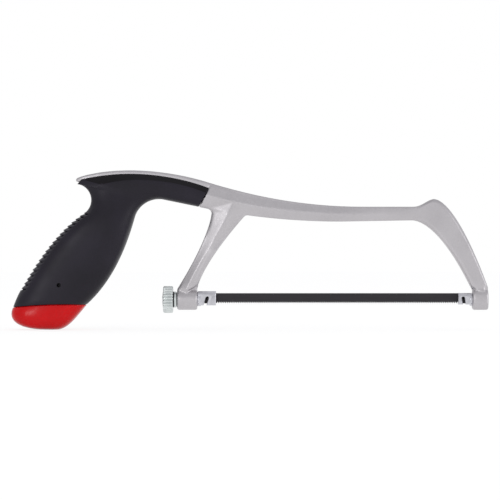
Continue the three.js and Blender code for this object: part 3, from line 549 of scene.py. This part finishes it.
# The flanks are spark-eroded in the mould, which leaves the rubber a soft blue-black. Faces high on the
# grip that face upwards, the bevel under the casting among them, get a darker copy of the rubber with a
# weaker sheen: painted shade for the weak light from above.
shaded_slope, shaded_above = 0.38, finger_middle.y + finger_radius * 0.8
black_rubber = moulded_rubber("black_textured_rubber", "#131019", "#1f1b27", 0.38, 0.47, 0.25)
shaded_top_rubber = moulded_rubber("black_rubber_painted_shade", "#0c0a0e", "#131015", 0.34, 0.42, 0.16)
# Painted shade: upward-facing faces high on the grip take the darker copy of the rubber.
for face in moulding.faces:
    if face.calc_center_median().z > shaded_above and face.normal.z > shaded_slope:
        face.material_index = 1
grip = add_piece("rubber_grip", moulding, black_rubber, "frame", "grip", crease=36)
grip.data.materials.append(shaded_top_rubber)

# The end cap is a red plastic moulding that closes the butt of the grip. It stands a little proud
# at the back, is set in at the front, and its tongue is pinned inside the grip.
cap_height, cap_bulge, cap_crown, cap_heel = 14.2 * mm, 2.68 * mm, 18.4 * mm, 17 * mm
cap_thickness, cap_swell, swell_reach, cap_closing = 25.4 * mm, 0.07, 0.6, 0.94
shadow_gap, cap_step, cap_wall, cap_edge = 0.25 * mm, 0.05 * mm, 1.2 * mm, 0.6 * mm
cap_start = butt_back - Vector((0, shadow_gap))
cap_end = butt_front - Vector((cap_step, shadow_gap))
cap_floor = cap_start.y - cap_height
cap_back = [cap_start, cap_start - Vector((cap_bulge, cap_height * 0.44)),
            Vector((cap_start.x - cap_bulge / 2, cap_floor + cap_height * 0.02)),
            Vector((cap_start.x + cap_crown, cap_floor))]
cap_front = [cap_end, Vector((cap_end.x - cap_heel * 0.38, mixed(cap_end.y, cap_floor, 0.535))),
             Vector((cap_end.x - cap_heel * 0.64, cap_floor)), Vector((cap_end.x - cap_heel, cap_floor))]
sections = []
cap_steps = 40
for step in range(cap_steps + 1):
    share = step / cap_steps
    swell = 1 - cap_swell * (1 - min(1, share / swell_reach)) ** 2
    thickness = cap_thickness * swell * math.sqrt(1 - cap_closing * share ** 4)
    sections.append(grip_section(on_curve(cap_back, share), on_curve(cap_front, share), thickness,
                                 bow=(1 - share) ** 3))
cap, ends = loft(sections)
cap_rim = list(ends[0].edges)
bmesh.ops.inset_region(cap, faces=[ends[0]], thickness=cap_wall, depth=shadow_gap, use_even_offset=True)
bmesh.ops.bevel(cap, geom=cap_rim, offset=cap_edge, segments=3, profile=0.5, affect="EDGES", material=-1)

# Moulded ABS: a clear strong red with a soft semi-gloss skin, faint flow tone from the mould and
# fine rub marks that break up its highlights. The marks are drawn coarser than real, to show.
flow_length, rub_mark = 18 * mm, 1.2 * mm
red_abs, tree = new_finish("red_moulded_abs")
place = node(tree, "ShaderNodeTexCoord").outputs["Object"]
flow = node(tree, "ShaderNodeTexNoise", {"Vector": place, "Scale": 1 / flow_length, "Detail": 3})
rub = node(tree, "ShaderNodeTexNoise", {"Vector": place, "Scale": 1 / rub_mark, "Detail": 4,
                                        "Roughness": 0.65})
tone = node(tree, "ShaderNodeMapRange", {0: flow.outputs[0], 1: 0.35, 2: 0.65, 3: 0, 4: 1})
colour = node(tree, "ShaderNodeMix", {0: tone.outputs[0], 6: linear("#bd0408"), 7: linear("#c9080e")},
              data_type="RGBA")
gloss = node(tree, "ShaderNodeMapRange", {0: rub.outputs[0], 1: noise_low, 2: noise_high, 3: 0.14, 4: 0.26})
relief = node(tree, "ShaderNodeBump", {"Strength": 0.08, "Distance": 0.03 * mm, "Height": rub.outputs[0]})
plastic = node(tree, "ShaderNodeBsdfPrincipled",
               {"Base Color": colour.outputs[2], "Roughness": gloss.outputs[0], "IOR": 1.52,
                "Specular IOR Level": 0.18, "Normal": relief.outputs[0]})
node(tree, "ShaderNodeOutputMaterial", {0: plastic.outputs[0]})
add_piece("red_end_cap", cap, red_abs, "frame", "end_cap", crease=50)

# The cap is held by a spring pin, a strip of dark steel rolled to a split tube and driven across
# the grip. It lies sunk in its hole on both sides.
spring_pin = merged_copy("cap_pin")

# Oil-blacked spring steel: near black with a dull sheen, and paler where it was rubbed in driving.
scuff_size = 0.7 * mm
dark_steel, tree = new_finish("oil_blacked_steel")
place = node(tree, "ShaderNodeTexCoord").outputs["Object"]
scuff = node(tree, "ShaderNodeTexNoise", {"Vector": place, "Scale": 1 / scuff_size, "Detail": 4})
worn = node(tree, "ShaderNodeMapRange", {0: scuff.outputs[0], 1: 0.45, 2: 0.7, 3: 0, 4: 1})
colour = node(tree, "ShaderNodeMix", {0: worn.outputs[0], 6: linear("#0e0d0f"), 7: linear("#1d1c1f")},
              data_type="RGBA")
gloss = node(tree, "ShaderNodeMapRange", {0: worn.outputs[0], 1: 0, 2: 1, 3: 0.5, 4: 0.34})
steel = node(tree, "ShaderNodeBsdfPrincipled", {"Base Color": colour.outputs[2], "Metallic": 1,
                                                "Roughness": gloss.outputs[0]})
node(tree, "ShaderNodeOutputMaterial", {0: steel.outputs[0]})
add_piece("spring_pin", spring_pin, dark_steel, "frame", "cap_pin")


# Each blade holder is a plated steel fork with a slanted hook slot for the pin of the blade. The
# rear one has a threaded stud through its boss, and the front one is riveted in its boss.
def plating(name, dull, clear, smooth, rough):
    """Plated steel: pale, with a soft mirror that handling clouds and faint lines of the polishing
    wheel break up. The lines are drawn coarser than real, to show."""
    cloud_size, brush_pitch = 3 * mm, 0.35 * mm
    finish, tree = new_finish(name)
    place = node(tree, "ShaderNodeTexCoord").outputs["Object"]
    cloud = node(tree, "ShaderNodeTexNoise", {"Vector": place, "Scale": 1 / cloud_size, "Detail": 4})
    brush = node(tree, "ShaderNodeTexNoise", {"Vector": place, "Scale": 1 / brush_pitch, "Detail": 2})
    tone = node(tree, "ShaderNodeMapRange", {0: cloud.outputs[0], 1: noise_low, 2: noise_high, 3: 0, 4: 1})
    colour = node(tree, "ShaderNodeMix", {0: tone.outputs[0], 6: linear(dull), 7: linear(clear)},
                  data_type="RGBA")
    gloss = node(tree, "ShaderNodeMapRange", {0: brush.outputs[0], 1: noise_low, 2: noise_high, 3: smooth,
                                              4: rough})
    relief = node(tree, "ShaderNodeBump", {"Strength": 0.1, "Distance": 0.01 * mm,
                                           "Height": brush.outputs[0]})
    plate = node(tree, "ShaderNodeBsdfPrincipled",
                 {"Base Color": colour.outputs[2], "Metallic": 1, "Roughness": gloss.outputs[0],
                  "Normal": relief.outputs[0]})
    node(tree, "ShaderNodeOutputMaterial", {0: plate.outputs[0]})
    return finish


def softened(name, radius):
    """A copy of a solid with its flat faces joined up and its edges broken."""
    shape = merged_copy(name)
    bmesh.ops.dissolve_limit(shape, angle_limit=flat_angle, verts=shape.verts, edges=shape.edges)
    sharp = [edge for edge in shape.edges if edge.calc_face_angle(0) > edge_angle]
    bmesh.ops.bevel(shape, geom=sharp, offset=radius, offset_type="OFFSET", segments=2, profile=0.5,
                    affect="EDGES", clamp_overlap=True, material=-1)
    return shape


def with_round_rims(bar, radius, segments):
    """A round bar with the rims of both its ends rounded."""
    rims = [edge for edge in bar.edges if edge.calc_face_angle(0) > rim_angle]
    bmesh.ops.bevel(bar, geom=rims, offset=radius, segments=segments, profile=0.5, affect="EDGES",
                    material=-1)
    return bar


def with_collar(fork, start, end, radius):
    """A fork with the round collar that seats it on its boss."""
    collar = bar_along(Vector((start, 0, axis_height)), Vector((end, 0, axis_height)), radius, segments=64)
    return combined(fork, with_round_rims(collar, collar_edge, 2), "UNION")


flat_angle, edge_angle, rim_angle = math.radians(1), math.radians(38), math.radians(60)
fork_edge, collar_edge, collar_bed = 0.12 * mm, 0.2 * mm, 0.15 * mm
rear_collar, rear_collar_radius = 2.1 * mm, 3.8 * mm
front_collar, front_collar_radius, shank_length = 1.4 * mm, 3.65 * mm, 9.1 * mm
front_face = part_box("front_blade_holder")[1].x - shank_length
bright_zinc = plating("bright_zinc_plating", "#bfbfc4", "#cfcfd5", 0.22, 0.34)
rear_fork = with_collar(softened("rear_blade_holder", fork_edge), boss_face - collar_bed,
                        boss_face + rear_collar, rear_collar_radius)
front_fork = with_collar(softened("front_blade_holder", fork_edge), front_face + collar_bed,
                         front_face - front_collar, front_collar_radius)
add_piece("rear_fork_and_stud", rear_fork, bright_zinc, "rear_holder", "rear_blade_holder",
          crease=30)
add_piece("front_fork", front_fork, bright_zinc, "frame", "front_blade_holder", crease=30)


# A bright steel washer lies against the rear boss, so that the knob doesn't wear the casting.
# It is stamped, with its front edge rolled over and its rear one only broken.
def turned(profile, segments=64):
    """Shape turned about the tension axis from (length, radius) corners in metres."""
    shape = bmesh.new()
    centre = Vector((0, 0, axis_height))
    corners = [shape.verts.new((length, 0, axis_height + radius)) for length, radius in profile]
    edges = [shape.edges.new((corners[i - 1], corners[i])) for i in range(len(corners))]
    bmesh.ops.spin(shape, geom=corners + edges, cent=centre, axis=(1, 0, 0), angle=2 * math.pi,
                   steps=segments, use_merge=True)
    bmesh.ops.remove_doubles(shape, verts=shape.verts, dist=0.001 * mm)
    bmesh.ops.recalc_face_normals(shape, faces=shape.faces)
    return shape


def ring_profile(low, high, edge, roll):
    """Corners of a washer that fills a box, with its rear outer edge broken and its front one rolled."""
    back, front, outer, round_cut = low.x, high.x, (high.z - low.z) / 2, 0.3
    return [(back, stud_hole), (back, outer - edge),
            (back + edge * round_cut, outer - edge * round_cut), (back + edge, outer),
            (front - roll, outer), (front - roll * round_cut, outer - roll * round_cut),
            (front, outer - roll), (front, stud_hole)]


stud_hole, washer_edge, washer_roll = 2.65 * mm, 0.2 * mm, 0.7 * mm
white_nickel = plating("white_nickel_plating", "#cacfcf", "#dadfde", 0.26, 0.4)
washer = turned(ring_profile(*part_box("steel_washer"), washer_edge, washer_roll))
add_piece("steel_washer_ring", washer, white_nickel, "frame", "steel_washer")

# Between the washer and the knob is a thin black nylon ring, which turns with the knob and keeps
# it from working loose. It is cut from moulded sheet.
nylon_edge = 0.12 * mm
nylon_ring = turned(ring_profile(*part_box("friction_washer"), nylon_edge, nylon_edge))

# Moulded nylon: a soft black with a waxy skin and fine specks. They are drawn coarser than real.
speck_size = 0.5 * mm
black_nylon, tree = new_finish("black_nylon_sheet")
place = node(tree, "ShaderNodeTexCoord").outputs["Object"]
speck = node(tree, "ShaderNodeTexNoise", {"Vector": place, "Scale": 1 / speck_size, "Detail": 3})
colour = node(tree, "ShaderNodeMix", {0: speck.outputs[0], 6: linear("#161518"), 7: linear("#2b2a2d")},
              data_type="RGBA")
gloss = node(tree, "ShaderNodeMapRange", {0: speck.outputs[0], 1: noise_low, 2: noise_high, 3: 0.42,
                                          4: 0.6})
nylon = node(tree, "ShaderNodeBsdfPrincipled", {"Base Color": colour.outputs[2],
                                                "Roughness": gloss.outputs[0], "IOR": 1.53})
node(tree, "ShaderNodeOutputMaterial", {0: nylon.outputs[0]})
add_piece("nylon_washer_ring", nylon_ring, black_nylon, "knob", "friction_washer")

# The tension knob is a plated steel nut with rounded flutes for the fingers, domed at the back and
# tapped for the stud. Turning it draws the rear fork back and stretches the blade.
flute_count, flute_depth, flute_sharpness, flute_steps = 26, 0.7 * mm, 2.2, 10
low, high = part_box("tension_knob")
knob_radius = (high.y - low.y) / 2
dome_height, dome_radius, dome_margin = 0.4 * mm, 4.5 * mm, 1 * mm
dome_form = [(0, 0.3 * mm), (0.6, -0.2 * mm), (1, -0.9 * mm)]
knob_edge, edge_steps, knob_land, countersink = 0.8 * mm, 4, 0.6 * mm, 0.3 * mm
knob_back = low.x + dome_height
rim = knob_radius - knob_edge
profile = [(high.x, stud_hole), (high.x, rim - knob_land)]
for step in range(edge_steps + 1):
    turn = math.radians(90 * step / edge_steps)
    profile.append((high.x - knob_edge + knob_edge * math.cos(turn), rim + knob_edge * math.sin(turn)))
profile.append(((high.x + knob_back) / 2, knob_radius))
for step in range(edge_steps + 1):
    turn = math.radians(90 * step / edge_steps)
    profile.append((knob_back + knob_edge - knob_edge * math.sin(turn), rim + knob_edge * math.cos(turn)))
profile += [(knob_back - dome_height * rise, dome_radius + beyond) for rise, beyond in dome_form]
profile += [(low.x, stud_hole + countersink), (low.x + countersink, stud_hole)]
knob = turned(profile, segments=flute_count * flute_steps)
for corner in knob.verts:
    reach = Vector((corner.co.y, corner.co.z - axis_height))
    wave = 0.5 + 0.5 * math.cos(flute_count * math.atan2(reach.y, reach.x))
    share = ease(reach.length, dome_radius + dome_margin, rim)
    reach *= 1 - share * flute_depth * wave ** flute_sharpness / reach.length
    corner.co.y, corner.co.z = reach.x, reach.y + axis_height
add_piece("fluted_knob", knob, white_nickel, "knob", "tension_knob", crease=50)

# The blade is a strip of spring steel with fine set teeth pointing down, coated black all over. Its
# teeth are those of the solid, cut a little deeper so that they show at the size of the picture, and
# each of their facets stays flat.
tooth_root, tooth_stretch, back_band, back_rise = 0.35 * mm, 1.4, 0.1 * mm, 0.12 * mm
strip = merged_copy("blade")
low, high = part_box("blade")
for corner in strip.verts:
    below = low.z + tooth_root - corner.co.z
    if below > -2 * tooth_root:
        corner.co.z -= below * (tooth_stretch - 1)
    elif corner.co.z > high.z - back_band:
        corner.co.z += back_rise

# Black lacquer on rolled steel: thin and satin, with the rolling lines of the strip showing through
# along its length. The lines are drawn coarser than real, to show.
rolling_line, line_stretch = 0.4 * mm, 0.03
black_coat, tree = new_finish("black_lacquered_spring_steel")
place = node(tree, "ShaderNodeTexCoord").outputs["Object"]
along = node(tree, "ShaderNodeMapping", {"Vector": place, "Scale": (line_stretch, 1, 1)})
lines = node(tree, "ShaderNodeTexNoise", {"Vector": along.outputs[0], "Scale": 1 / rolling_line,
                                          "Detail": 3})
tone = node(tree, "ShaderNodeMapRange", {0: lines.outputs[0], 1: noise_low, 2: noise_high, 3: 0, 4: 1})
colour = node(tree, "ShaderNodeMix", {0: tone.outputs[0], 6: linear("#1a181c"), 7: linear("#29262b")},
              data_type="RGBA")
gloss = node(tree, "ShaderNodeMapRange", {0: tone.outputs[0], 1: 0, 2: 1, 3: 0.45, 4: 0.58})
relief = node(tree, "ShaderNodeBump", {"Strength": 0.1, "Distance": 0.01 * mm, "Height": lines.outputs[0]})
lacquer = node(tree, "ShaderNodeBsdfPrincipled",
               {"Base Color": colour.outputs[2], "Roughness": gloss.outputs[0],
                "Specular IOR Level": 0.35, "Normal": relief.outputs[0]})
node(tree, "ShaderNodeOutputMaterial", {0: lacquer.outputs[0]})
add_piece("toothed_blade", strip, black_coat, "blade", "blade", crease=0)

# A short steel pin is pressed through each end of the blade and hooks in the slot of its fork.
# The pins are cut from hard wire, and the rims of their ends are rounded.
hook_edge = 0.22 * mm
for end in ("rear", "front"):
    low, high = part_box(end + "_blade_pin")
    radius = (high.x - low.x) / 2
    across = Matrix.Translation((low + high) / 2) @ Matrix.Rotation(math.radians(90), 4, "X")
    pin = bmesh.new()
    bmesh.ops.create_cone(pin, cap_ends=True, segments=32, radius1=radius, radius2=radius,
                          depth=high.y - low.y, matrix=across)
    add_piece(end + "_hook_pin", with_round_rims(pin, hook_edge, 3), dark_steel, "blade",
              end + "_blade_pin")
